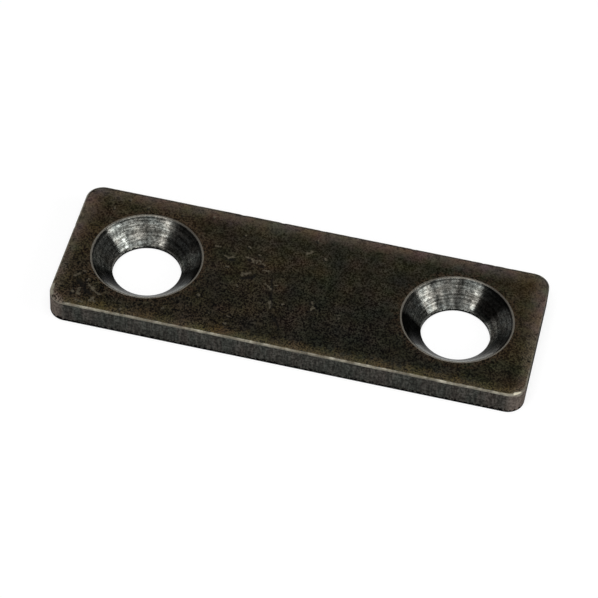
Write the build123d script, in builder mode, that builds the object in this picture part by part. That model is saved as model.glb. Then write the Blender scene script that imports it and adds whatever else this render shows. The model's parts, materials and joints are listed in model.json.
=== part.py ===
from build123d import *
import math
import os

# Mending plate: a flat blackened steel plate that screws across a joint between two pieces of wood.
# It is blanked from strip, so its upper edge is rolled over by the die and its lower edge is sheared
# off, and two holes are drilled in it and then countersunk from above for flat-headed wood screws.
#
# The origin is the centre of the underside. +X runs along the plate and +Z points out of the face
# that the screw heads sink into. Lengths are in millimetres and angles in degrees.

# The blank
plate_length = 38.0
plate_width = 13.0
plate_thickness = 2.2
corner_radius = 1.4

# The edges that blanking leaves
roll_width = 0.6  # band along the outline where the upper face leans down towards the edge
roll_drop = 0.1  # how far it leans down
edge_rounding = 0.14  # between the rolled band and the sheared side
burr_rounding = 0.12  # where tumbling has taken the burr off the lower edges

# The screw holes
hole_count = 2
hole_end_distance = 6.45  # from each end of the plate to the middle of its nearest hole
hole_diameter = 5.5
sink_angle = 90.0
land_height = 0.55  # straight wall left in the hole below its countersink
rim_rounding = 0.24  # between the countersink and the upper face

# The holes stand in a row, evenly spaced between the two at the ends.
hole_spacing = (plate_length - 2 * hole_end_distance) / (hole_count - 1)

# The cone runs from the top of the straight wall up to the face.
sink_depth = plate_thickness - land_height
sink_radius = hole_diameter / 2 + sink_depth * math.tan(math.radians(sink_angle / 2))

# The rolled band bends away from the flat face along an arc as long as half of the band.
roll_slope = math.atan2(roll_drop, roll_width)
roll_bend_radius = roll_width / 2 / math.tan(roll_slope / 2)

os.makedirs("parts", exist_ok=True)

with BuildPart() as plate:
    # Blank with its four rounded corners
    with BuildSketch():
        RectangleRounded(plate_length, plate_width, corner_radius)
    extrude(amount=plate_thickness)

    # Band that leans down all round the upper face
    upper_face = plate.faces().sort_by(Axis.Z)[-1]
    chamfer(upper_face.edges(), length=roll_width, length2=roll_drop, reference=upper_face)

    # The level edges now lie in three loops, one above another: the underside's outline, the foot
    # of the band and the upper face's outline. The foot is rounded tightly and the face softly.
    band_foot = plate.edges().filter_by(Plane.XY).group_by(Axis.Z)[1]
    fillet(band_foot, radius=edge_rounding)
    upper_face = plate.faces().sort_by(Axis.Z)[-1]
    fillet(upper_face.edges(), radius=roll_bend_radius)

    # Holes, countersunk from above
    with Locations(Plane.XY.offset(plate_thickness)):
        with GridLocations(hole_spacing, 0, hole_count, 1):
            CounterSinkHole(
                radius=hole_diameter / 2,
                counter_sink_radius=sink_radius,
                counter_sink_angle=sink_angle,
            )

    # Rims of the countersinks, and the lower edges of the outline and the holes
    upper_face = plate.faces().sort_by(Axis.Z)[-1]
    fillet(upper_face.inner_wires().edges(), radius=rim_rounding)
    lower_face = plate.faces().sort_by(Axis.Z)[0]
    fillet(lower_face.edges(), radius=burr_rounding)

plate.part.label = "plate"
export_step(plate.part, "parts/plate.step")
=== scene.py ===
# %% [markdown]
# # A blackened mending plate
# A mending plate is a short piece of steel strip that screws across a joint between two pieces of
# wood. A press blanks it from sheet, so the die rolls its upper edges over, and two holes are drilled
# and countersunk afterwards, through the dark scale and into bright steel.
#
# The CAD model already holds its size and its holes. This lesson makes the same plate again as one
# fine mesh that follows that model, because the CAD mesh has no points to carry nicks and pits.

# %% Load the frame
import json
import math

import bmesh
import bpy
from mathutils import Matrix, Vector, noise


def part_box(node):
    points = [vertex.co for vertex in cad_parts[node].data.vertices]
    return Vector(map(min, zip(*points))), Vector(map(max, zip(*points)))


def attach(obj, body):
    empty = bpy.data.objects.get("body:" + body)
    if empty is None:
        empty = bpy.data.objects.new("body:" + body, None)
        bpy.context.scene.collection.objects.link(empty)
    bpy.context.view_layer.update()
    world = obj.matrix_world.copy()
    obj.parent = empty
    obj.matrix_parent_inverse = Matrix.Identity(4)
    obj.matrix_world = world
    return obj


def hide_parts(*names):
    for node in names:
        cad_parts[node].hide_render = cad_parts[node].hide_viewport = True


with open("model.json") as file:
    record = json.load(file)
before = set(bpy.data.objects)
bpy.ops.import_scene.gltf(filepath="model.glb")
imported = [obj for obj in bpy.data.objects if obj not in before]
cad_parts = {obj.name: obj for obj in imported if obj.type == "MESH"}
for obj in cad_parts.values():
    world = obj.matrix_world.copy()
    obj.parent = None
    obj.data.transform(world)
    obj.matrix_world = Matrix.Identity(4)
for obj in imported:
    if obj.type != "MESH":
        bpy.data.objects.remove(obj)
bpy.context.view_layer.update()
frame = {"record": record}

# %% [markdown]
# ## Sizes
# The outline and the holes are read from the frame, so the mesh can't drift away from the CAD model.
# The section of the edges is not stored there and is written out here. Blender works in metres.

# %% Sizes of the plate
mm = 0.001
plate_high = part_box("plate")[1]
half_length = plate_high.x
half_width = plate_high.y
thickness = plate_high.z
bores = [mount for mount in frame["record"]["mounts"] if mount["kind"] == "bore"]
hole_places = [mount["pos_m"][0] for mount in bores]
hole_radius = bores[0]["dims"]["r_mm"] * mm

corner_radius = 1.4 * mm
roll_reach = 0.9 * mm  # the soft roll of the upper face starts this far in
roll_width = 0.6 * mm
roll_drop = 0.1 * mm
roll_lean = math.atan2(roll_drop, roll_width)
edge_rounding = 0.14 * mm
burr_rounding = 0.12 * mm
land_height = 0.55 * mm  # straight wall left below a countersink
cone_lean = math.radians(45)  # so a cone widens as fast as it rises
rim_rounding = 0.24 * mm
sink_radius = hole_radius + thickness - land_height
rim_radius = sink_radius + rim_rounding * math.tan(cone_lean / 2)
hair = 0.001 * mm  # anything nearer than this counts as touching
print("holes at", hole_places, "rim radius", round(rim_radius / mm, 2), "mm")

# %% [markdown]
# ## The countersunk holes
# A drill makes the straight wall and a 90 degree countersink opens it towards the upper face. A lathe
# would make the same shape, so the wall's section is drawn once, as a chain of points, and spun
# round the hole's axis. The second hole is a copy of the first. Both are made before the large faces,
# because a spin gets slower as the mesh that it works in grows.

# %% Draw the section of a hole and spin it
cone_rows = 44
arc_rows = 4
land_rows = 4
window_half = 30  # half the side of the window round a hole, in squares of the face
around = 8 * window_half


def add_arc(points, centre, radius, start, end, steps):
    """Go on round an arc from the start angle to the end angle, both in degrees."""
    for step in range(steps + 1):
        angle = math.radians(start + (end - start) * step / steps)
        points.append((centre[0] + radius * math.cos(angle), centre[1] + radius * math.sin(angle)))


wall = []
add_arc(wall, (hole_radius + burr_rounding, burr_rounding), burr_rounding, -90, -180, arc_rows)
for step in range(1, land_rows):
    wall.append((hole_radius, burr_rounding + (land_height - burr_rounding) * step / land_rows))
rim_centre = (rim_radius, thickness - rim_rounding)
cone_top = rim_rounding * (1 - math.cos(cone_lean))
cone_run = thickness - cone_top - land_height
for step in range(cone_rows):
    wall.append((hole_radius + cone_run * step / cone_rows, land_height + cone_run * step / cone_rows))
add_arc(wall, rim_centre, rim_rounding, 135, 90, arc_rows)

bm = bmesh.new()
chain = [bm.verts.new((hole_places[0] + radius, 0, height)) for radius, height in wall]
links = [bm.edges.new(pair) for pair in zip(chain, chain[1:])]
bmesh.ops.spin(bm, geom=chain + links, cent=(hole_places[0], 0, 0), axis=(0, 0, 1), angle=math.tau,
               steps=around, use_merge=True)
first_hole = bm.verts[:] + bm.edges[:] + bm.faces[:]
for place in hole_places[1:]:
    copied = bmesh.ops.duplicate(bm, geom=first_hole)["geom"]
    copied_verts = [item for item in copied if isinstance(item, bmesh.types.BMVert)]
    bmesh.ops.translate(bm, verts=copied_verts, vec=(place - hole_places[0], 0, 0))
print("holes turned with", len(wall), "rows of", around)

# %% [markdown]
# ## The two flat faces
# Each face starts as a grid of small squares over the whole outline. Small even squares can carry
# pits and scratches later, which one large face couldn't. The corners are rounded by drawing each
# square ring around a corner onto a quarter circle, so no square is folded over.

# %% Make a face as a grid with rounded corners
rows = 80
columns = 236
face_inset = 0.12 * mm


def corner_core(point):
    """The nearest point of the rectangle that joins the centres of the four corner roundings."""
    reach_x = half_length - corner_radius
    reach_y = half_width - corner_radius
    return Vector((max(-reach_x, min(reach_x, point.x)), max(-reach_y, min(reach_y, point.y)), 0))


def add_face_grid(bm, height):
    """A grid over the outline at this height, which stops where the rounded edge begins."""
    size = Matrix.Diagonal((half_length - face_inset, half_width - face_inset, 1, 1))
    lift = Matrix.Translation((0, 0, height))
    grid = bmesh.ops.create_grid(bm, x_segments=columns, y_segments=rows, size=1, matrix=lift @ size)
    for vert in grid["verts"]:
        core = corner_core(vert.co)
        out = Vector((vert.co.x - core.x, vert.co.y - core.y, 0))
        if out.x and out.y:
            ring = max(abs(out.x), abs(out.y))
            vert.co = core + out.normalized() * ring + Vector((0, 0, height))
    return grid["verts"]


upper_verts = add_face_grid(bm, thickness)
print("upper face:", rows * columns, "squares")

# %% [markdown]
# ## The edge that the press leaves
# A blanking punch drags the upper face down before it cuts, which leaves a soft roll all round. The
# roll is made by letting the grid's outer points sink. Then the grid's border is extruded downwards
# one row at a time: round the edge, down the sheared side and round the lower edge. A bevel would
# need no rows, but rows with their own inset and height follow the CAD model's section closely.

# %% Let the upper face roll over


def inset_of(point):
    """How far a point lies in from the outline of the plate."""
    core = corner_core(point)
    beyond = Vector((point.x - core.x, point.y - core.y)).length
    if beyond > 0:
        return corner_radius - beyond
    return min(half_length - abs(point.x), half_width - abs(point.y))


quarter_turn = math.radians(90)
roll_power = 1.6
foot_height = thickness - roll_drop - edge_rounding * math.tan((quarter_turn - roll_lean) / 2)
shoulder_height = foot_height + edge_rounding * math.cos(roll_lean)
shoulder_inset = edge_rounding * (1 - math.sin(roll_lean))
roll_depth = (thickness - shoulder_height) / (1 - shoulder_inset / roll_reach) ** roll_power
for vert in upper_verts:
    inset = inset_of(vert.co)
    if inset < roll_reach:
        vert.co.z -= roll_depth * (1 - max(inset, 0) / roll_reach) ** roll_power
print("the face rolls down by", round(roll_depth / mm, 3), "mm before the edge")

# %% Extrude the border down the side
edge_rows = 5
side_rows = 11
burr_rows = 4
section = []
for step in range(1, edge_rows + 1):
    angle = roll_lean + (quarter_turn - roll_lean) * step / edge_rows
    section.append((edge_rounding * (1 - math.sin(angle)), foot_height + edge_rounding * math.cos(angle)))
for step in range(1, side_rows + 1):
    section.append((0, foot_height + (burr_rounding - foot_height) * step / side_rows))
for step in range(1, burr_rows + 1):
    angle = quarter_turn * step / burr_rows
    section.append((burr_rounding * (1 - math.cos(angle)), burr_rounding * (1 - math.sin(angle))))

border = list({edge for vert in upper_verts for edge in vert.link_edges if edge.is_boundary})
for inset, height in section:
    made = bmesh.ops.extrude_edge_only(bm, edges=border)["geom"]
    border = [item for item in made if isinstance(item, bmesh.types.BMEdge) and item.is_boundary]
    for vert in {vert for edge in border for vert in edge.verts}:
        core = corner_core(vert.co)
        out = Vector((vert.co.x - core.x, vert.co.y - core.y, 0)).normalized()
        vert.co = core + out * (corner_radius - inset)
        vert.co.z = height
print("side:", len(section), "rows of", len(border))

# %% [markdown]
# ## The underside and the holes
# The underside is a second grid, turned over. Neither grid has room for a round hole, and cutting one
# with a boolean would leave slivers. So a square window is cut round each hole, with as many points
# as the hole has, and a bridge joins the two, which keeps all faces four-sided and even.

# %% Add the underside and cut a square window around each hole
lower_verts = add_face_grid(bm, 0)
bmesh.ops.reverse_faces(bm, faces=list({face for vert in lower_verts for face in vert.link_faces}))
cell_x = 2 * (half_length - face_inset) / columns
cell_y = 2 * (half_width - face_inset) / rows


def in_window(face):
    """Whether a square of a face lies in the window of the nearest hole."""
    centre = face.calc_center_median()
    place = min(hole_places, key=lambda x: abs(x - centre.x))
    line = round(place / cell_x) * cell_x
    return abs(centre.x - line) < window_half * cell_x and abs(centre.y) < window_half * cell_y


flat_faces = {face for vert in upper_verts + lower_verts for face in vert.link_faces}
bmesh.ops.delete(bm, geom=[face for face in flat_faces if in_window(face)], context="FACES")
bmesh.ops.remove_doubles(bm, verts=bm.verts, dist=hair)
print("window reach", round(window_half * cell_y / mm, 2), "mm,", around, "points round it")

# %% Bridge each hole to its windows
upper_cuts = 6
lower_cuts = 11
hole_zone = 6 * mm  # open edges this near to a hole's middle line belong to it
for place in hole_places:
    for height, cuts in ((thickness, upper_cuts), (0, lower_cuts)):
        loops = [edge for edge in bm.edges if edge.is_boundary
                 and all(abs(vert.co.z - height) < 10 * hair for vert in edge.verts)
                 and abs(edge.verts[0].co.x - place) < hole_zone]
        bridge = bmesh.ops.bridge_loops(bm, edges=loops)
        spokes = {edge for face in bridge["faces"] for edge in face.edges} - set(loops)
        bmesh.ops.subdivide_edges(bm, edges=list(spokes), cuts=cuts, use_grid_fill=True)
bmesh.ops.remove_doubles(bm, verts=bm.verts, dist=hair)
bmesh.ops.recalc_face_normals(bm, faces=bm.faces)
open_edges = [edge for edge in bm.edges if not edge.is_manifold]
print("plate mesh:", len(bm.faces), "faces,", len(open_edges), "open edges, volume",
      round(bm.calc_volume() / mm ** 3, 1), "cubic mm")

# %% [markdown]
# ## Wear maps in the mesh
# The finishes need to know how near each point is to an edge, because that is where scale rubs off
# first. Each point stores its distance to the upper edge, to the lower edge and to the rim of the
# nearest hole, all in millimetres. On the underside the hole has no rim, so there its mouth counts
# instead. Points in a hole also store how far up its slope they lie. A shader could work all this
# out, but stored numbers are simpler to read.

# %% Store the distances to the edges
upper_edge = bm.verts.layers.float.new("upper_edge")
lower_edge = bm.verts.layers.float.new("lower_edge")
rim_edge = bm.verts.layers.float.new("rim_edge")
slope_run = bm.verts.layers.float.new("slope_run")


def nearest_hole(point):
    """The centre of the hole nearest to a point, at the height of the underside."""
    return Vector((min(hole_places, key=lambda place: abs(place - point.x)), 0, 0))


for vert in bm.verts:
    inset = max(inset_of(vert.co), 0)
    hole = nearest_hole(vert.co)
    radius = (vert.co.xy - hole.xy).length
    if inset < edge_rounding and radius > rim_radius:
        vert[upper_edge] = max(foot_height - vert.co.z, 0) / mm
        vert[lower_edge] = max(vert.co.z - burr_rounding, 0) / mm
    else:
        vert[upper_edge] = max(inset - shoulder_inset, 0) / mm
        vert[lower_edge] = max(inset - burr_rounding, 0) / mm
    if vert.co.z < hair:
        vert[rim_edge] = max(radius - hole_radius - burr_rounding, 0) / mm
    else:
        vert[rim_edge] = max(radius - rim_radius, sink_radius - radius, 0) / mm
    vert[slope_run] = (vert.co.z + radius - hole_radius) / mm if radius < rim_radius else 0
print("largest distance to the upper edge", round(max(vert[upper_edge] for vert in bm.verts), 2), "mm")

# %% [markdown]
# ## Painted shade and highlight in the holes
# The bare steel of the countersinks is painted darker in some stretches, as shade, and brighter in
# others, as highlight. Lamps alone would light both holes alike, so each hole gets stretches of its own.
# A stretch is written as its hole, the angles where it starts and ends, in degrees anticlockwise
# from the right, and its strength, which is below zero where the steel is painted brighter.

# %% Store where the holes get painted shade and painted highlight
painted_stretch = bm.verts.layers.float.new("painted_stretch")
left_hole, right_hole = hole_places
painted_shade_and_light = [
    (left_hole, 10, 34, -0.3),
    (left_hole, 26, 80, 0.6),
    (left_hole, 98, 120, 0.5),
    (left_hole, 112, 142, -0.7),
    (left_hole, 148, 166, 0.6),
    (left_hole, 184, 198, -0.5),
    (left_hole, 196, 242, 0.78),
    (left_hole, 322, 372, 0.72),
    (right_hole, -2, 34, -0.4),
    (right_hole, 28, 80, 0.8),
    (right_hole, 86, 106, 0.8),
    (right_hole, 110, 130, -0.7),
    (right_hole, 174, 234, 0.95),
    (right_hole, 316, 362, 0.6),
]


def soft_step(value, low, high):
    """0 below the low value, 1 above the high one and smooth between them."""
    share = max(0, min(1, (value - low) / (high - low)))
    return share * share * (3 - 2 * share)


fade = 12  # degrees over which a stretch begins and ends
wander = 8  # degrees by which its borders wander
wander_pitch = 1.3 * mm
for vert in bm.verts:
    if vert[slope_run] > 0:
        hole = nearest_hole(vert.co)
        angle = math.degrees(math.atan2(vert.co.y, vert.co.x - hole.x))
        angle += wander * noise.noise(vert.co / wander_pitch)
        for place, start, end, strength in painted_shade_and_light:
            if abs(place - hole.x) < mm:
                turn = (angle - start) % 360
                depth = min(turn, end - start - turn)
                vert[painted_stretch] += strength * soft_step(depth, 0, fade)
print(len(painted_shade_and_light), "tarnished stretches around the two holes")

# %% [markdown]
# ## Directions and regions
# The turned steel has to know which way its grooves lie, and an unwrap wouldn't keep to it. So the
# map is worked out: U is the way up the slope and V the angle round the hole. After that each face
# is told which of the three finishes it has, by its height and its distance from the hole.

# %% Map the holes with U up the slope
map_width = 10 * mm  # the way up the slope that fills the map once
turning = bm.loops.layers.uv.new("turning")
for face in bm.faces:
    hole = nearest_hole(face.calc_center_median())
    middle = face.calc_center_median() - hole
    middle_angle = math.atan2(middle.y, middle.x)
    for loop in face.loops:
        spoke = loop.vert.co - hole
        angle = math.atan2(spoke.y, spoke.x)
        angle += math.tau * round((middle_angle - angle) / math.tau)
        loop[turning].uv = ((spoke.xy.length + spoke.z) / map_width, angle / math.tau)
print("turning map stored")

# %% Give each region its material slot
skin, sheared, turned = 0, 1, 2
side_skin = 0.02 * mm  # faces less far in than this belong to the side
for face in bm.faces:
    middle = face.calc_center_median()
    radius = (middle.xy - nearest_hole(middle).xy).length
    face.smooth = True
    if radius < rim_radius and (middle.z > hair or radius < hole_radius + burr_rounding):
        face.material_index = turned
    elif inset_of(middle) < side_skin or hair < middle.z < foot_height:
        face.material_index = sheared
    else:
        face.material_index = skin
regions = [face.material_index for face in bm.faces]
print("faces of skin, side and turned steel:", [regions.count(kind) for kind in (skin, sheared, turned)])

# %% [markdown]
# ## Small unevenness
# Rolled strip is never quite flat and a sheared side is never quite straight. Points are moved along
# their normals by smooth noise of some thousandths of a millimetre, as one would with a sculpting
# brush, and always inwards so that the plate keeps its size. Finer grain is left to the materials.

# %% Press small waves, pits and tool marks into the surface
groove_depth = 0.006 * mm
streak_depth = 0.006 * mm
tear_depth = 0.014 * mm
tear_height = 0.9 * mm
wave_depth = 0.006 * mm
ripple_depth = 0.003 * mm
pit_depth = 0.05 * mm
nick_depth = 0.16 * mm
edge_zone = 0.05  # millimetres from the upper edge, as the edge map stores it
bm.normal_update()


def wave(point, pitch, seed):
    """Smooth noise from 0 to 1 whose bumps are about this many millimetres apart."""
    return 0.5 + 0.5 * noise.noise(point / (pitch * mm) + Vector((seed, seed * 2, seed * 3)))


moves = {}
for vert in bm.verts:
    point = vert.co
    hole = nearest_hole(point)
    radius = (point.xy - hole.xy).length
    if radius < rim_radius - 10 * hair:
        angle = math.atan2(point.y, point.x - hole.x)
        swing = Vector((math.cos(angle), math.sin(angle), vert[slope_run] * 1.9 + hole.x / mm))
        groove = abs(noise.noise(swing * 1.6))
        moves[vert] = groove_depth * groove if point.z > land_height else 0
    elif vert[upper_edge] > 0 and vert[lower_edge] > 0 and inset_of(point) < side_skin:
        streak = wave(Vector((point.x, point.y, point.z * 0.12)), 0.3, 7)
        torn = 1 - min(point.z / tear_height, 1)
        moves[vert] = streak_depth * streak + tear_depth * torn * wave(point, 0.5, 3)
    else:
        pit = max(wave(point, 0.7, 11) - 0.72, 0)
        moves[vert] = wave_depth * wave(point, 5, 1) + ripple_depth * wave(point, 1.2, 5)
        moves[vert] += pit_depth * pit
        if vert[upper_edge] < edge_zone:
            nick = max(wave(point, 0.45, 21) - 0.66, 0)
            moves[vert] += nick_depth * nick
for vert, depth in moves.items():
    vert.co -= vert.normal * depth
print("deepest move", round(max(moves.values()) / mm, 3), "mm")

# %% [markdown]
# ## The plate's object
# The mesh becomes one object that rides on the CAD body and stands for the CAD plate. Its place is
# in its points, so the object itself stays at the origin, unturned and unscaled.

# %% Make the plate's object
mesh = bpy.data.meshes.new("plate_body")
bm.to_mesh(mesh)
bm.free()
plate = bpy.data.objects.new("plate_body", mesh)
bpy.context.scene.collection.objects.link(plate)
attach(plate, "root")
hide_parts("plate")
print("plate_body has", sum(len(p.vertices) - 2 for p in mesh.polygons), "triangles")

# %% [markdown]
# ## Helpers for the materials
# A finish is a tree of nodes, from the place on the plate at one end to the shader at the other. It
# could be drawn by hand in the editor, but a tree of this size is easier to read when each node takes
# one line. These helpers add a node, set it up and plug its inputs in by name.

# %% Helpers that add a node


def add(tree, kind, inputs=None, **settings):
    """Add a node, set it up, and link or fill its inputs by name or number."""
    node = tree.nodes.new("ShaderNode" + kind)
    for name, setting in settings.items():
        setattr(node, name, setting)
    for name, value in (inputs or {}).items():
        socket = node.inputs[name]
        if isinstance(value, bpy.types.NodeSocket):
            tree.links.new(value, socket)
        else:
            socket.default_value = value
    return node


def math_node(tree, operation, *values, clamp=False):
    """One arithmetic step on numbers or sockets."""
    inputs = dict(enumerate(values))
    return add(tree, "Math", inputs, operation=operation, use_clamp=clamp).outputs[0]


def times(tree, first, second):
    """The product of two numbers or sockets."""
    return math_node(tree, "MULTIPLY", first, second)


def plus(tree, first, second):
    """The sum of two numbers or sockets."""
    return math_node(tree, "ADD", first, second)


def stronger(tree, first, second):
    """The larger of two numbers or sockets."""
    return math_node(tree, "MAXIMUM", first, second)


def ramp(tree, value, low, high, from_low=0.0, from_high=1.0):
    """Value moved smoothly from one range to another and held at its ends."""
    inputs = {"Value": value, "From Min": from_low, "From Max": from_high, "To Min": low, "To Max": high}
    return add(tree, "MapRange", inputs, interpolation_type="SMOOTHSTEP").outputs[0]


def noise_value(tree, place, scale, detail=2.0, roughness=0.5, distortion=0.0):
    """Noise with this many bumps per millimetre."""
    inputs = {"Vector": place, "Scale": scale, "Detail": detail, "Roughness": roughness,
              "Distortion": distortion}
    return add(tree, "TexNoise", inputs).outputs["Fac"]


print("helpers for numbers made")

# %% Helpers for vectors and colours


def vector_math(tree, operation, *values):
    """One step of arithmetic on vectors or colours."""
    return add(tree, "VectorMath", dict(enumerate(values)), operation=operation)


def scaled(tree, vector, factor):
    """A colour or vector made brighter or longer by this factor."""
    if isinstance(vector, tuple):
        vector = vector[:3]
    return add(tree, "VectorMath", {0: vector, "Scale": factor}, operation="SCALE").outputs[0]


def colour(red, green, blue):
    """A colour as the sockets want it, with an alpha of 1."""
    return (red, green, blue, 1.0)


def mix_colours(tree, factor, first, second):
    """The first colour where the factor is 0 and the second where it is 1."""
    inputs = {0: factor, 6: first, 7: second}
    return add(tree, "Mix", inputs, data_type="RGBA").outputs[2]


def uneven_colour(tree, place, per_mm):
    """Noise in three colours, from -0.5 to 0.5 each, that shifts hues or bends places."""
    cloud = add(tree, "TexNoise", {"Vector": place, "Scale": per_mm, "Detail": 1.0}).outputs["Color"]
    return vector_math(tree, "SUBTRACT", cloud, (0.5, 0.5, 0.5)).outputs[0]


white = colour(1.0, 1.0, 1.0)
print("white is", white)

# %% [markdown]
# ## Effects that the finishes share
# Grain, worn edges and scratches turn up in more than one finish, and specks twice in one, always in
# different amounts. They could be built again each time, but then a change would have to be made
# in every place. Each is a node group with its own inputs instead, so a material only says how much
# of it there is.

# %% Helpers that make and place a group


def start_group(name, inputs, outputs):
    """A node group with these sockets, its tree and its two ends."""
    tree = bpy.data.node_groups.new(name, "ShaderNodeTree")
    for label, kind, value in inputs:
        socket = tree.interface.new_socket(label, in_out="INPUT", socket_type="NodeSocket" + kind)
        if value is not None:
            socket.default_value = value
    for label, kind in outputs:
        tree.interface.new_socket(label, in_out="OUTPUT", socket_type="NodeSocket" + kind)
    return tree, tree.nodes.new("NodeGroupInput").outputs, tree.nodes.new("NodeGroupOutput").inputs


def use_group(tree, group, inputs):
    """The outputs of a group that is placed in this tree with these inputs."""
    node = tree.nodes.new("ShaderNodeGroup")
    node.node_tree = group
    for name, value in inputs.items():
        if isinstance(value, bpy.types.NodeSocket):
            tree.links.new(value, node.inputs[name])
        else:
            node.inputs[name].default_value = value
    return node.outputs


# %% Group: mottled grain
grain_group, ends_in, ends_out = start_group(
    "mottled grain",
    [("Place", "Vector", None), ("Coarse", "Float", 0.5), ("Fine", "Float", 4.0)],
    [("Patches", "Float"), ("Grain", "Float")],
)
patches = noise_value(grain_group, ends_in["Place"], ends_in["Coarse"], 3.0, 0.6, 0.4)
grains = noise_value(grain_group, ends_in["Place"], ends_in["Fine"], 1.5, 0.85)
grain_group.links.new(ramp(grain_group, patches, 0.0, 1.0, 0.32, 0.68), ends_out["Patches"])
grain_group.links.new(ramp(grain_group, grains, 0.0, 1.0, 0.3, 0.7), ends_out["Grain"])

# %% Group: scale worn off near an edge
worn_group, ends_in, ends_out = start_group(
    "worn edge",
    [("Place", "Vector", None), ("Distance", "Float", 0.0), ("Width", "Float", 0.1),
     ("Raggedness", "Float", 0.5), ("Softness", "Float", 0.05)],
    [("Worn", "Float")],
)
ragged = noise_value(worn_group, ends_in["Place"], 2.2, 3.0, 0.6)
ragged = times(worn_group, math_node(worn_group, "SUBTRACT", ragged, 0.5), 2.0)
ragged = times(worn_group, ragged, ends_in["Raggedness"])
reach = times(worn_group, plus(worn_group, ragged, 1.0), ends_in["Width"])
gap = math_node(worn_group, "SUBTRACT", reach, ends_in["Distance"])
worn = math_node(worn_group, "DIVIDE", gap, ends_in["Softness"], clamp=True)
worn_group.links.new(worn, ends_out["Worn"])

# %% Group: scattered specks
speck_group, ends_in, ends_out = start_group(
    "specks",
    [("Place", "Vector", None), ("Per mm", "Float", 2.0), ("Size", "Float", 0.2),
     ("Share", "Float", 0.2)],
    [("Specks", "Float")],
)
sharpness = 12.0
cells = add(speck_group, "TexVoronoi", {"Vector": ends_in["Place"], "Scale": ends_in["Per mm"]})
spot = math_node(speck_group, "SUBTRACT", ends_in["Size"], cells.outputs["Distance"])
spot = math_node(speck_group, "MULTIPLY", spot, sharpness, clamp=True)
lot = add(speck_group, "SeparateColor", {"Color": cells.outputs["Color"]}).outputs[0]
chosen = math_node(speck_group, "LESS_THAN", lot, ends_in["Share"])
speck_group.links.new(times(speck_group, spot, chosen), ends_out["Specks"])

# %% Group: one scratch from a start to an end
scratch_group, ends_in, ends_out = start_group(
    "scratch",
    [("Place", "Vector", None), ("Start", "Vector", None), ("End", "Vector", None),
     ("Width", "Float", 0.1)],
    [("Scratch", "Float")],
)
away = vector_math(scratch_group, "SUBTRACT", ends_in["Place"], ends_in["Start"]).outputs[0]
line = vector_math(scratch_group, "SUBTRACT", ends_in["End"], ends_in["Start"]).outputs[0]
along = math_node(
    scratch_group, "DIVIDE",
    vector_math(scratch_group, "DOT_PRODUCT", away, line).outputs["Value"],
    vector_math(scratch_group, "DOT_PRODUCT", line, line).outputs["Value"], clamp=True)
foot = scaled(scratch_group, line, along)
aside = vector_math(scratch_group, "DISTANCE", away, foot).outputs["Value"]
aside = math_node(scratch_group, "DIVIDE", aside, ends_in["Width"])
depth = math_node(scratch_group, "SUBTRACT", 1.0, aside, clamp=True)
scratch_group.links.new(depth, ends_out["Scratch"])
print("node groups:", [group.name for group in bpy.data.node_groups])

# %% [markdown]
# ## Blackened skin: the scale
# The strip comes from the mill with a thin dark oxide scale and is oiled. Up close it is a mix of
# brown, olive and purple-grey, a little lighter towards the rear and the ends. A picture of scale
# would repeat and stretch round the edges, so the scale is made of noise in millimetres on the
# object: wide patches set the hue, middling ones the lightness and a fine grain the speckle.

# %% Start the skin and read its places


def start_material(name):
    """A material with its Principled shader, added to the plate's slots in order."""
    material = bpy.data.materials.new(name)
    material.use_nodes = True
    plate.data.materials.append(material)
    return material.node_tree, material.node_tree.nodes["Principled BSDF"]


def places(tree):
    """Object coordinates in millimetres, together and as three numbers."""
    place = scaled(tree, add(tree, "TexCoord").outputs["Object"], 1000.0)
    return place, add(tree, "SeparateXYZ", {"Vector": place}).outputs


tree, shader = start_material("blackened_skin")
place, axes = places(tree)
from_middle = math_node(tree, "ABSOLUTE", axes["X"])
rearward = ramp(tree, axes["Y"], 0.0, 1.0, -6.0, 5.5)
wide = use_group(tree, grain_group, {"Place": place, "Coarse": 0.14, "Fine": 7.0})
blotch = use_group(tree, grain_group, {"Place": place, "Coarse": 0.55, "Fine": 1.8})
print("skin started with", len(tree.nodes), "nodes")

# %% Give the scale its hues
left_scale = colour(0.0168, 0.0132, 0.0067)
right_scale = colour(0.0126, 0.0115, 0.0065)
end_scale = colour(0.0185, 0.0138, 0.0062)
hue_swing = (0.6, 0.42, 0.8)
rightward = plus(tree, axes["X"], ramp(tree, wide["Patches"], -5.0, 5.0))
tone = mix_colours(tree, ramp(tree, rightward, 0.0, 1.0, -6.0, 4.0), left_scale, right_scale)
tone = mix_colours(tree, ramp(tree, from_middle, 0.0, 1.0, 12.5, 18.0), tone, end_scale)
freckles = uneven_colour(tree, place, 0.6)
freckles = vector_math(tree, "MULTIPLY_ADD", freckles, hue_swing, (1.0, 1.0, 1.0)).outputs[0]
tone = vector_math(tree, "MULTIPLY", tone, freckles).outputs[0]
print("scale runs from", left_scale[:3], "to", right_scale[:3])

# %% Speckle the scale and lighten it towards the rear and the ends
grain = times(tree, ramp(tree, wide["Grain"], 0.0, 2.05, 0.2, 0.8),
              ramp(tree, blotch["Grain"], 0.85, 1.15))
towards_end = ramp(tree, from_middle, 1.0, 1.15, 13.0, 18.0)
towards_rear = ramp(tree, axes["Y"], 0.88, 1.38, -6.5, 6.5)
lightness = times(tree, towards_end, towards_rear)
lightness = times(tree, lightness, ramp(tree, blotch["Patches"], 0.8, 1.2))
coarseness = times(tree, ramp(tree, axes["Y"], 0.6, 0.42, -5.5, 5.0),
                   ramp(tree, axes["X"], 1.12, 0.88, -15.0, 8.0))
speckle = times(tree, math_node(tree, "SUBTRACT", grain, 1.0), coarseness)
pale_dust = 0.009
darkest = (0.001, 0.001, 0.001)
scale_tone = scaled(tree, tone, plus(tree, speckle, 1.0))
scale_tone = vector_math(tree, "ADD", scale_tone, times(tree, speckle, pale_dust)).outputs[0]
scale_tone = vector_math(tree, "MAXIMUM", scale_tone, darkest).outputs[0]
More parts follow.
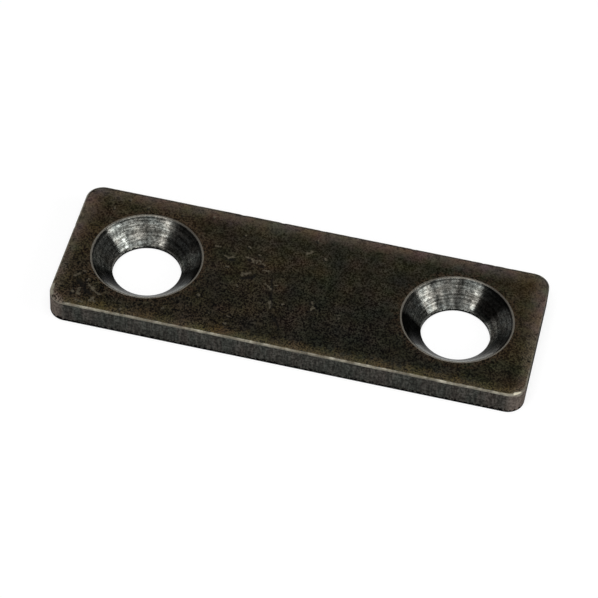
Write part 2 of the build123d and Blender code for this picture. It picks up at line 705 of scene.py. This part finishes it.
scale_tone = scaled(tree, scale_tone, lightness)
print("scale speckled, never below", darkest[0])

# %% [markdown]
# ## Blackened skin: the rubbed band
# Along the rolled band the plate has rubbed against its neighbours, and the scale there is paler and
# browner. A ramp on the stored distance to the upper edge draws it. Noise is added to that distance
# first, so that the inner border of the band wanders. The band is wider and paler at the rear, and
# the last of the roll at the rear, which turns away from the lamps, is painted dark as shade.

# %% Draw the rubbed band along the edges
front_band = colour(0.0485, 0.0375, 0.0172)
rear_band = colour(0.074, 0.058, 0.043)
painted_rear_shade = colour(0.016, 0.012, 0.013)


def stored(tree, name):
    """A number that the mesh stores at each point."""
    return add(tree, "Attribute", attribute_name=name).outputs["Fac"]


edge_gap = stored(tree, "upper_edge")
ragged_gap = plus(tree, edge_gap, ramp(tree, blotch["Grain"], -0.35, 0.35))
ragged_gap = plus(tree, ragged_gap, ramp(tree, wide["Grain"], -0.08, 0.08))
band_reach = ramp(tree, rearward, 1.0, 1.65)
band = ramp(tree, ragged_gap, 0.0, 1.0, band_reach, 0.1)
at_end = ramp(tree, from_middle, 0.0, 0.9, 17.5, 18.6)
band_tone = mix_colours(tree, stronger(tree, rearward, at_end), front_band, rear_band)
band_tone = vector_math(tree, "MULTIPLY", band_tone, freckles).outputs[0]
band_grain = times(tree, ramp(tree, wide["Grain"], -0.75, 0.75, 0.15, 0.85),
                   ramp(tree, rearward, 0.8, 0.4))
band_grain = plus(tree, band_grain, ramp(tree, blotch["Grain"], 0.62, 1.44))
banded = mix_colours(tree, band, scale_tone, scaled(tree, band_tone, band_grain))
# Painted shade: the last of the roll at the rear, which turns away from the lamps, is drawn dark
rear_roll_shade = times(tree, ramp(tree, edge_gap, 1.0, 0.0, 0.04, 0.16),
                    ramp(tree, axes["Y"], 0.0, 0.9, 4.0, 6.0))
banded = mix_colours(tree, rear_roll_shade, banded, painted_rear_shade)
print("band drawn along the outline, from", front_band[:3], "to", rear_band[:3])

# %% [markdown]
# ## Blackened skin: dents, scratches and painted shadows
# Knocks have left pale scratches and dents, most of them left of the middle and at the near left
# corner. The dark marks are partly dark smudges and partly painted shade in the dents and painted
# shadow beside the pale marks. Real ones lie where chance put them, so each is a short stroke that
# is listed, with its start, its end and its half width in millimetres. The places are bent by a
# little noise, which makes straight strokes crooked, and smaller crumbs are strewn over the left
# half, each drawn pale and again dark, the dark copy a painted shadow shifted a little aside.

# %% Place the marks
pale_marks = [
    ((-6.55, 1.6), (-6.25, 1.5), 0.22),
    ((-6.25, 1.5), (-5.8, 1.75), 0.18),
    ((-4.95, 1.95), (-4.6, 1.95), 0.2),
    ((-4.5, 1.9), (-4.2, 1.8), 0.18),
    ((-4.2, 1.8), (-4.25, 1.5), 0.18),
    ((-4.05, 1.55), (-3.8, 1.8), 0.18),
    ((-3.8, 1.8), (-3.4, 1.5), 0.18),
    ((-4.8, 0.05), (-4.35, 0.3), 0.24),
    ((-2.85, -0.45), (-2.55, -0.55), 0.22),
    ((-2.55, -0.55), (-2.25, -0.8), 0.18),
    ((-2.0, -2.1), (-1.85, -2.75), 0.16),
    ((-0.3, 3.65), (0.0, 3.85), 0.24),
    ((-7.5, 2.4), (-7.15, 2.6), 0.18),
    ((-3.3, 0.95), (-2.75, 0.95), 0.16),
    ((1.25, -2.1), (1.4, -1.8), 0.2),
    ((-17.45, -3.5), (-17.15, -3.2), 0.2),
    ((-16.95, -2.8), (-16.7, -2.95), 0.16),
    ((-16.25, -4.05), (-15.1, -5.0), 0.19),
    ((-16.7, -4.7), (-16.7, -5.3), 0.2),
    ((-15.7, -5.8), (-15.5, -5.45), 0.19),
    ((-15.5, -5.45), (-15.2, -5.75), 0.19),
    ((-16.7, -5.9), (-16.3, -6.0), 0.22),
]
dents_and_shadows = [
    ((-4.8, -0.35), (-3.85, 0.05), 0.24),
    ((-3.85, 0.05), (-3.85, 0.35), 0.17),
    ((-2.4, 0.1), (-2.15, -0.95), 0.17),
    ((-2.15, -1.3), (-1.8, -2.7), 0.17),
    ((-1.5, -3.5), (-0.6, -4.8), 0.13),
    ((-17.0, -4.0), (-16.4, -4.4), 0.34),
    ((-16.3, -4.8), (-15.9, -5.0), 0.3),
    ((-6.4, 1.2), (-5.9, 1.4), 0.16),
    ((-4.8, 1.65), (-4.5, 1.6), 0.16),
    ((-3.8, 1.3), (-3.45, 1.25), 0.17),
    ((1.1, -2.3), (1.5, -2.3), 0.16),
]
print(len(pale_marks), "pale marks and", len(dents_and_shadows), "dark ones")

# %% Draw the marks and their painted shadows, and strew crumbs between them
dark_smudge_and_shadow = colour(0.004, 0.0036, 0.003)
scratched = colour(0.110, 0.096, 0.068)
bend = (0.5, 0.5, 0.0)
bent = vector_math(tree, "MULTIPLY_ADD", uneven_colour(tree, place, 2.6), bend, place).outputs[0]


def brush(tree, place, start, end, width):
    """A soft stroke of this half width between two points, 1 along its middle."""
    inputs = {"Place": place, "Start": start, "End": end, "Width": width}
    return use_group(tree, scratch_group, inputs)["Scratch"]


def draw_marks(marks):
    """The strongest of these scratches at each place."""
    total = 0.0
    for start, end, width in marks:
        stroke = brush(tree, bent, (*start, thickness / mm), (*end, thickness / mm), width)
        total = stronger(tree, total, stroke)
    return total


broken = ramp(tree, wide["Grain"], 0.62, 1.0, 0.2, 0.7)
leftward = ramp(tree, axes["X"], 0.9, 0.0, 0.0, 8.0)
crumbs = {"Per mm": 0.9, "Size": 0.16, "Share": 0.7}
# Painted shadow: each crumb is drawn again in dark, shifted a little to one side of the pale one
shadow_side = (0.05, 0.13, 0.0)
pale_crumbs = use_group(tree, speck_group, {"Place": bent, **crumbs})["Specks"]
shadow_place = vector_math(tree, "ADD", bent, shadow_side).outputs[0]
crumb_shadows = use_group(tree, speck_group, {"Place": shadow_place, **crumbs})["Specks"]
pale = stronger(tree, times(tree, draw_marks(pale_marks), broken),
                times(tree, pale_crumbs, times(tree, leftward, broken)))
# Dark marks: partly smudges, partly painted shade in dents and painted shadow beside pale marks
smudges_and_shadows = stronger(tree, draw_marks(dents_and_shadows), times(tree, crumb_shadows, leftward))
marked = mix_colours(tree, ramp(tree, smudges_and_shadows, 0.0, 0.85, 0.0, 0.8), banded, dark_smudge_and_shadow)
marked = mix_colours(tree, ramp(tree, pale, 0.0, 0.7, 0.1, 0.9), marked, scratched)
print("marks drawn,", len(tree.nodes), "nodes so far")

# %% [markdown]
# ## Blackened skin: bare steel
# The tight edge above the side has lost its scale and shines as a thin pale line, which is broken at
# the near left corner and fades out along the right end. Knocks at the two near corners are bare
# too. A worn edge is a threshold on the stored distance with noise in it, so the line wanders. The
# line goes on over the edge onto the side, so the helpers below serve both materials. Round the
# holes and on the near left corner the scale has gone rust-brown, which lies under the bare steel.

# %% Helpers for the worn upper edge
dull_steel = colour(0.268, 0.247, 0.195)
bright_steel = colour(0.515, 0.487, 0.395)


def worn_line(tree, place, gap, width, raggedness, softness):
    """Where the scale is worn off along an edge at this distance."""
    inputs = {"Place": place, "Distance": gap, "Width": width, "Raggedness": raggedness,
              "Softness": softness}
    return use_group(tree, worn_group, inputs)["Worn"]


def kept_at_right_end(tree, axes):
    """1 where the edge may wear, and less on the right end, where the scale is whole."""
    whole = times(tree, ramp(tree, axes["X"], 0.0, 0.85, 18.3, 18.8),
                  ramp(tree, axes["Y"], 0.0, 1.0, -4.6, -3.4))
    return math_node(tree, "SUBTRACT", 1.0, whole)


def bare_steel_tone(tree, place):
    """Steel that is duller in some stretches and brighter in others."""
    polish = noise_value(tree, place, 0.7, 3.0, 0.6)
    return mix_colours(tree, ramp(tree, polish, 0.0, 1.0, 0.42, 0.68), dull_steel, bright_steel)


print("bare steel runs from", dull_steel[:3], "to", bright_steel[:3])

# %% Wear the edge and knock the corners
worn_edge = worn_line(tree, place, edge_gap, 0.035, 1.6, 0.07)
rounded_off = brush(tree, place, (-18.9, -5.9, 2.1), (-18.2, -6.5, 2.1), 0.8)
worn_edge = times(tree, worn_edge, ramp(tree, rounded_off, 1.0, 0.15, 0.0, 0.4))
worn_edge = times(tree, worn_edge, kept_at_right_end(tree, axes))
left_knock = brush(tree, place, (-18.89, -4.85, 2.1), (-18.83, -5.15, 2.1), 0.26)
lower_knock = brush(tree, place, (-18.79, -5.5, 2.1), (-18.72, -5.75, 2.1), 0.22)
right_knock = brush(tree, place, (18.3, -6.25, 2.08), (18.65, -6.05, 2.05), 0.24)
knocked = stronger(tree, stronger(tree, left_knock, lower_knock), right_knock)
knocked = times(tree, knocked, ramp(tree, blotch["Grain"], 0.8, 1.7))
worn_edge = stronger(tree, worn_edge, ramp(tree, knocked, 0.0, 1.0, 0.2, 0.5))
print("edge worn and two corners knocked")

# %% Rust the rims and the rounded corner, and lay the bare steel over them
rim_rust = colour(0.026, 0.016, 0.009)
corner_rust = colour(0.102, 0.082, 0.065)
fresh_steel = colour(0.66, 0.61, 0.47)
rim_gap = stored(tree, "rim_edge")
worn_rim = worn_line(tree, place, rim_gap, 0.005, 1.2, 0.03)
rust_gap = plus(tree, rim_gap, ramp(tree, blotch["Grain"], -0.35, 0.35))
rusted = mix_colours(tree, ramp(tree, rust_gap, 0.6, 0.0, 0.05, 0.6), marked,
                     scaled(tree, rim_rust, grain))
rusted = mix_colours(tree, ramp(tree, rounded_off, 0.0, 0.75, 0.0, 0.6), rusted,
                     scaled(tree, corner_rust, grain))
bare_steel = mix_colours(tree, ramp(tree, right_knock, 0.0, 1.0, 0.2, 0.6),
                         bare_steel_tone(tree, place), fresh_steel)
bare = stronger(tree, worn_edge, worn_rim)
skin_colour = mix_colours(tree, bare, rusted, bare_steel)
print("rust drawn round", len(hole_places), "rims")

# %% Plug the skin into its shader


def finish_material(tree, shader, base, metal, roughness, bump_height, bump_depth):
    """Plug the colour, the metal, the roughness and the bumps of a finish into its shader."""
    tree.links.new(base, shader.inputs["Base Color"])
    tree.links.new(metal, shader.inputs["Metallic"])
    tree.links.new(roughness, shader.inputs["Roughness"])
    bump = add(tree, "Bump", {"Height": bump_height, "Strength": 1.0, "Distance": bump_depth})
    tree.links.new(bump.outputs[0], shader.inputs["Normal"])


metal_share = math_node(tree, "SUBTRACT", 0.7, times(tree, knocked, 0.6), clamp=True)
finish_material(tree, shader, skin_colour, times(tree, bare, metal_share),
                ramp(tree, wide["Grain"], 0.40, 0.60), wide["Grain"], 0.006 * mm)
shader.inputs["Specular IOR Level"].default_value = 0.12
print("blackened_skin has", len(tree.nodes), "nodes")

# %% [markdown]
# ## Sheared side
# The side is torn steel under the same thin scale. The die leaves faint upright strokes, which noise
# gives when the Z axis is squeezed before it is read. The side grows a little paler upwards, its
# foot has a thin black line of painted contact shadow, and its corners are rubbed to a rusty grey.

# %% Draw the torn grain of the side
grey_side = colour(0.0222, 0.0232, 0.0205)
brown_side = colour(0.0272, 0.0242, 0.0214)
tree, shader = start_material("sheared_side")
place, axes = places(tree)
lower_gap = stored(tree, "lower_edge")
drawn = add(tree, "Mapping", {"Vector": place, "Scale": (1.0, 1.0, 0.25)}).outputs[0]
strokes = use_group(tree, grain_group, {"Place": drawn, "Coarse": 0.7, "Fine": 4.5})
torn = use_group(tree, grain_group, {"Place": place, "Coarse": 0.5, "Fine": 4.0})
side_tone = mix_colours(tree, strokes["Patches"], grey_side, brown_side)
lift = times(tree, ramp(tree, lower_gap, 1.62, 2.0, 0.0, 1.4), ramp(tree, strokes["Grain"], 0.7, 1.3))
side_tone = scaled(tree, side_tone, times(tree, lift, ramp(tree, torn["Grain"], 0.62, 1.38)))
print("side runs from", grey_side[:3], "to", brown_side[:3])

# %% Rub its corners and paint the contact shadow at its foot
rubbed_corner = colour(0.148, 0.122, 0.104)
painted_foot_shadow = colour(0.003, 0.003, 0.003)
at_corner = times(tree,
                  ramp(tree, math_node(tree, "ABSOLUTE", axes["X"]), 0.0, 0.85, 17.35, 18.3),
                  ramp(tree, math_node(tree, "ABSOLUTE", axes["Y"]), 0.0, 1.0, 4.6, 5.6))
side_tone = mix_colours(tree, at_corner, side_tone,
                        scaled(tree, rubbed_corner, ramp(tree, torn["Grain"], 0.7, 1.3)))
# Painted shadow: a thin ragged black line along the foot, where the side meets the floor
shadow_gap = plus(tree, lower_gap, ramp(tree, torn["Grain"], -0.12, 0.12))
side_tone = mix_colours(tree, ramp(tree, shadow_gap, 1.0, 0.0, 0.12, 0.2), side_tone, painted_foot_shadow)
print("corners rubbed to", rubbed_corner[:3])

# %% Wear its upper edge and plug the side into its shader
worn_edge = worn_line(tree, place, stored(tree, "upper_edge"), 0.03, 1.6, 0.06)
worn_edge = times(tree, worn_edge, kept_at_right_end(tree, axes))
side_knock = brush(tree, place, (18.5, -6.15, 1.9), (18.75, -5.95, 1.9), 0.24)
worn_edge = stronger(tree, worn_edge, ramp(tree, side_knock, 0.0, 0.9, 0.2, 0.8))
side_colour = mix_colours(tree, worn_edge, side_tone, bare_steel_tone(tree, place))
side_rough = stronger(tree, ramp(tree, strokes["Grain"], 0.42, 0.6),
                      ramp(tree, lower_gap, 1.0, 0.0, 0.0, 0.12))
finish_material(tree, shader, side_colour, times(tree, worn_edge, 0.7), side_rough,
                strokes["Grain"], 0.008 * mm)
shader.inputs["Specular IOR Level"].default_value = 0.0
print("sheared_side has", len(tree.nodes), "nodes")

# %% [markdown]
# ## Turned steel
# The countersink cuts through the scale into bare steel and leaves rings. Light glances off such
# rings in streaks that run up the slope, which the shader's anisotropy gives: its tangent is the U of
# the turning map. The rings themselves are noise that changes fast up the slope and slowly round
# it. The steel has dulled since, so it is darker than a fresh cut.

# %% Draw the rings and the stains on them
dark_ring = colour(0.076, 0.074, 0.068)
pale_ring = colour(0.222, 0.220, 0.209)
cool_tint = colour(0.94, 1.01, 1.0)
warm_tint = colour(1.03, 1.0, 0.94)
tree, shader = start_material("turned_steel")
place, axes = places(tree)
run = stored(tree, "slope_run")
swing = add(tree, "CombineXYZ", {"X": times(tree, axes["X"], 0.3), "Y": times(tree, axes["Y"], 0.3),
                                 "Z": times(tree, run, 4.4)}).outputs[0]
rings = use_group(tree, grain_group, {"Place": swing, "Coarse": 0.35, "Fine": 0.9})
stain = use_group(tree, grain_group, {"Place": place, "Coarse": 0.6, "Fine": 4.5})
steel = mix_colours(tree, rings["Grain"], dark_ring, pale_ring)
tint = mix_colours(tree, stain["Patches"], cool_tint, warm_tint)
steel = vector_math(tree, "MULTIPLY", steel, tint).outputs[0]
steel = scaled(tree, steel, ramp(tree, stain["Grain"], 0.5, 1.45))
print("rings run from", dark_ring[:3], "to", pale_ring[:3])

# %% [markdown]
# ## Turned steel: painted shade and highlight, rim and drilled wall
# The stretches of painted shade and highlight are stored in the mesh, so here they only darken or
# brighten the rings. On the near side the rings are also painted darker low on the slope and
# brighter near the rim. The rim is dull and grey, a dark line runs just below it, and the drilled
# wall is painted nearly black lowest down, as shade deep in the hole. Each could be a material of
# its own, but its border would follow the faces in small steps, where a ramp on a stored distance
# or on the height draws it smoothly.

# %% Paint shade and highlight on the stored stretches and on the near slope
# Painted shade and highlight: the stored stretches darken the rings or brighten them up to three times
painted_stretch_here = stored(tree, "painted_stretch")
steel = scaled(tree, steel, ramp(tree, painted_stretch_here, 1.0, 0.06))
steel = scaled(tree, steel, ramp(tree, painted_stretch_here, 3.0, 1.0, -1.0, 0.0))
# Painted shade and light: on the near side the rings are darker low on the slope and brighter near the
# rim
near_side = ramp(tree, axes["Y"], 1.0, 0.0, -3.0, 0.5)
painted_slope_light = times(tree, near_side, ramp(tree, run, -0.85, 1.35, 1.25, 3.6))
steel = scaled(tree, steel, plus(tree, painted_slope_light, 1.0))
print("stretches drawn,", len(tree.nodes), "nodes so far")

# %% Draw the rim, the dark line below it and the painted shade low in the drilled wall
old_rim = colour(0.245, 0.225, 0.19)
painted_wall_shade = colour(0.008, 0.008, 0.007)
rim_gap = stored(tree, "rim_edge")
lip = times(tree, ramp(tree, rim_gap, 0.0, 1.0, 0.05, 0.09), ramp(tree, rim_gap, 1.0, 0.0, 0.14, 0.22))
steel = scaled(tree, steel, ramp(tree, lip, 1.0, 0.45))
on_rim = ramp(tree, rim_gap, 1.0, 0.0, 0.01, 0.07)
rim_tone = scaled(tree, old_rim, ramp(tree, axes["Y"], 1.0, 0.5, 1.0, 4.0))
steel = mix_colours(tree, on_rim, steel, rim_tone)
# Painted shade: the lowest part of the drilled wall and its lower rounding are drawn nearly black and
# dull
ragged_height = plus(tree, axes["Z"], ramp(tree, stain["Grain"], -0.06, 0.06))
low_wall_shade = ramp(tree, ragged_height, 1.0, 0.0, 0.24, 0.34)
steel = mix_colours(tree, low_wall_shade, steel, painted_wall_shade)
print("rim is", old_rim[:3])

# %% Plug the turned steel into its shader, with its streaks across the rings
dull = stronger(tree, times(tree, on_rim, 0.35), low_wall_shade)
metal = math_node(tree, "SUBTRACT", 0.88, dull, clamp=True)
steel_rough = plus(tree, ramp(tree, rings["Patches"], 0.18, 0.26), times(tree, on_rim, 0.2))
steel_rough = stronger(tree, steel_rough, low_wall_shade)
finish_material(tree, shader, steel, metal, steel_rough, rings["Grain"], 0.003 * mm)
tangent = add(tree, "Tangent", direction_type="UV_MAP", uv_map="turning")
tree.links.new(tangent.outputs[0], shader.inputs["Tangent"])
shader.inputs["Anisotropic"].default_value = 0.8
shader.inputs["Specular Tint"].default_value = colour(0.45, 0.45, 0.45)
shader.inputs["Specular IOR Level"].default_value = 0.05
print("materials:", [slot.name for slot in plate.material_slots])

# %% [markdown]
# ## Floor
# A product like this is shown on white. More lamps would make the floor white but bleach the plate.
# So most of what the camera and the steel see of the floor is light of its own, and the rest is lit
# paper, which lets a soft shadow lie under the plate.

# %% Lay the floor
floor_size = 3.0
floor_drop = 0.02 * mm
floor_mesh = bpy.data.meshes.new("floor")
floor_bm = bmesh.new()
bmesh.ops.create_grid(floor_bm, x_segments=1, y_segments=1, size=floor_size,
                      matrix=Matrix.Translation((0, 0, -floor_drop)))
floor_bm.to_mesh(floor_mesh)
floor_bm.free()
floor = bpy.data.objects.new("floor", floor_mesh)
bpy.context.scene.collection.objects.link(floor)
print("floor", round(floor_drop / mm, 3), "mm below the plate")

# %% Make the floor of white paper
own_light = 1.12
own_light_share = 0.7
paper = bpy.data.materials.new("white_paper")
paper.use_nodes = True
tree = paper.node_tree
shader = tree.nodes["Principled BSDF"]
shader.inputs["Base Color"].default_value = colour(0.86, 0.86, 0.86)
shader.inputs["Specular IOR Level"].default_value = 0.0
shader.inputs["Roughness"].default_value = 1.0
glow = add(tree, "Emission", {"Color": white, "Strength": own_light})
rays = add(tree, "LightPath").outputs
seen = stronger(tree, rays["Is Camera Ray"], rays["Is Glossy Ray"])
seen = stronger(tree, seen, rays["Is Transmission Ray"])
share = times(tree, seen, own_light_share)
paper_mix = add(tree, "MixShader", {0: share, 1: shader.outputs[0], 2: glow.outputs[0]})
tree.links.new(paper_mix.outputs[0], tree.nodes["Material Output"].inputs["Surface"])
floor_mesh.materials.append(paper)
print("floor shows", own_light_share, "of its own light")

# %% [markdown]
# ## Light
# Blackened steel shows its shape by what it mirrors, and in a plainly white room it would look flat.
# So the room is bright high up in front and nearly dark elsewhere, and three soft lamps, above, to
# the right and in front, put the streaks into the countersinks. Together they light the upper face
# so that a colour looks almost as bright as it is written.

# %% Light the room
scene = bpy.context.scene
scene.world = bpy.data.worlds.new("grey_room")
scene.world.use_nodes = True
tree = scene.world.node_tree
around_room = add(tree, "TexCoord").outputs["Generated"]
front = Vector((0.15, -0.72, 0.67)).normalized()
front_level = 0.5
room_level = 0.06
cosine = vector_math(tree, "DOT_PRODUCT", around_room, tuple(front)).outputs["Value"]
level = plus(tree, ramp(tree, cosine, 0.0, front_level, 0.5, 0.93), room_level)
tree.links.new(level, tree.nodes["Background"].inputs["Strength"])
tree.nodes["Background"].inputs["Color"].default_value = white


def add_lamp(name, direction, distance, width, watts):
    """A square soft lamp that looks at the plate from this direction."""
    light = bpy.data.lights.new(name, "AREA")
    light.size = width
    light.energy = watts
    lamp = bpy.data.objects.new(name, light)
    lamp.location = Vector(direction).normalized() * distance
    lamp.rotation_euler = (-lamp.location).to_track_quat("-Z", "Y").to_euler()
    scene.collection.objects.link(lamp)
    print(name, "at", [round(x, 3) for x in lamp.location])


add_lamp("top_lamp", (0.0, -0.25, 1.0), 0.5, 0.4, 1.7)
add_lamp("right_lamp", (0.855, -0.07, 0.51), 0.5, 0.2, 0.52)
add_lamp("front_lamp", (-0.41, -0.68, 0.61), 0.5, 0.1, 0.16)

# %% [markdown]
# ## Camera
# The camera looks down on the plate from the front and a little from the right, through a long lens
# that hardly narrows the far end. It is also turned a little about its own line of sight, and both
# make the plate run down to the right.

# %% Place the camera
camera_distance = 220.97 * mm
line_of_sight_turn = math.radians(4.0025)
camera_data = bpy.data.cameras.new("camera")
camera_data.lens = 168.393
camera = bpy.data.objects.new("camera", camera_data)
scene.collection.objects.link(camera)
scene.camera = camera
aim_point = Vector((-0.0776, -0.1767, 0.9578)) * mm
azimuth = math.radians(10.0605)
elevation = math.radians(48.4415)
back = Vector((math.sin(azimuth) * math.cos(elevation), -math.cos(azimuth) * math.cos(elevation),
               math.sin(elevation)))
camera.location = aim_point + back * camera_distance
tilt = Matrix.Rotation(line_of_sight_turn, 4, back)
camera.rotation_euler = (tilt @ (-back).to_track_quat("-Z", "Y").to_matrix().to_4x4()).to_euler()
camera_data.clip_start = 0.01
camera_data.clip_end = 20
scene.view_settings.view_transform = "Standard"
print("camera at", [round(x, 4) for x in camera.location])
